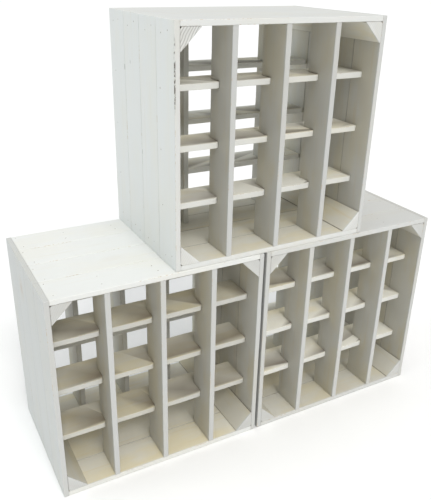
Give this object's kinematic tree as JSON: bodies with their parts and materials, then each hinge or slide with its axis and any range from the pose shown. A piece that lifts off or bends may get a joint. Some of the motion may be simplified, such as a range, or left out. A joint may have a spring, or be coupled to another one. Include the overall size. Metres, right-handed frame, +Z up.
{
  "type": "wine rack",
  "caption": "Wine rack of loose nailed wooden crates, two side by side and one across the top, each cross-lapped into square bays open at front and back for bottles lying down.",
  "frame": {"origin": "On the floor under the middle of the whole rack's bounding box.", "axes": "+Z up, +X to the right seen from the front, +Y from the open front towards the back."},
  "size_m": [0.8866, 0.303, 0.88],
  "materials": {
    "wall_boards": "thin white paint over sawn softwood, low sheen",
    "grid_boards": "thin white paint over planed softwood, low sheen",
    "posts": "thin white paint over sawn softwood, low sheen",
    "nails": "dull, darkened wire nail"
  },
  "bodies": {
    "left_crate": {"left_crate_left_boards": "wall_boards", "left_crate_right_boards": "wall_boards", "left_crate_bottom_boards": "wall_boards", "left_crate_top_boards": "wall_boards", "left_crate_corner_posts": "posts", "left_crate_front_divider_1": "grid_boards", "left_crate_front_divider_2": "grid_boards", "left_crate_front_divider_3": "grid_boards", "left_crate_front_shelf_1": "grid_boards", "left_crate_front_shelf_2": "grid_boards", "left_crate_front_shelf_3": "grid_boards", "left_crate_back_divider_1": "grid_boards", "left_crate_back_divider_2": "grid_boards", "left_crate_back_divider_3": "grid_boards", "left_crate_back_shelf_1": "grid_boards", "left_crate_back_shelf_2": "grid_boards", "left_crate_back_shelf_3": "grid_boards", "left_crate_shell_nails": "nails", "left_crate_grid_nails": "nails"},
    "right_crate": {"right_crate_left_boards": "wall_boards", "right_crate_right_boards": "wall_boards", "right_crate_bottom_boards": "wall_boards", "right_crate_top_boards": "wall_boards", "right_crate_corner_posts": "posts", "right_crate_front_divider_1": "grid_boards", "right_crate_front_divider_2": "grid_boards", "right_crate_front_divider_3": "grid_boards", "right_crate_front_shelf_1": "grid_boards", "right_crate_front_shelf_2": "grid_boards", "right_crate_front_shelf_3": "grid_boards", "right_crate_back_divider_1": "grid_boards", "right_crate_back_divider_2": "grid_boards", "right_crate_back_divider_3": "grid_boards", "right_crate_back_shelf_1": "grid_boards", "right_crate_back_shelf_2": "grid_boards", "right_crate_back_shelf_3": "grid_boards", "right_crate_shell_nails": "nails", "right_crate_grid_nails": "nails"},
    "top_crate": {"top_crate_left_boards": "wall_boards", "top_crate_right_boards": "wall_boards", "top_crate_bottom_boards": "wall_boards", "top_crate_top_boards": "wall_boards", "top_crate_corner_posts": "posts", "top_crate_front_divider_1": "grid_boards", "top_crate_front_divider_2": "grid_boards", "top_crate_front_divider_3": "grid_boards", "top_crate_front_shelf_1": "grid_boards", "top_crate_front_shelf_2": "grid_boards", "top_crate_front_shelf_3": "grid_boards", "top_crate_back_divider_1": "grid_boards", "top_crate_back_divider_2": "grid_boards", "top_crate_back_divider_3": "grid_boards", "top_crate_back_shelf_1": "grid_boards", "top_crate_back_shelf_2": "grid_boards", "top_crate_back_shelf_3": "grid_boards", "top_crate_shell_nails": "nails", "top_crate_grid_nails": "nails"}
  },
  "joints": [
    {"name": "top_crate_lift", "type": "slide", "parent": "left_crate", "child": "top_crate", "axis": [0, 0, 1], "range_m": [0, 0.2]},
    {"name": "right_crate_slide", "type": "slide", "parent": "left_crate", "child": "right_crate", "axis": [1, 0, 0], "range_m": [0, 0.15]}
  ]
}
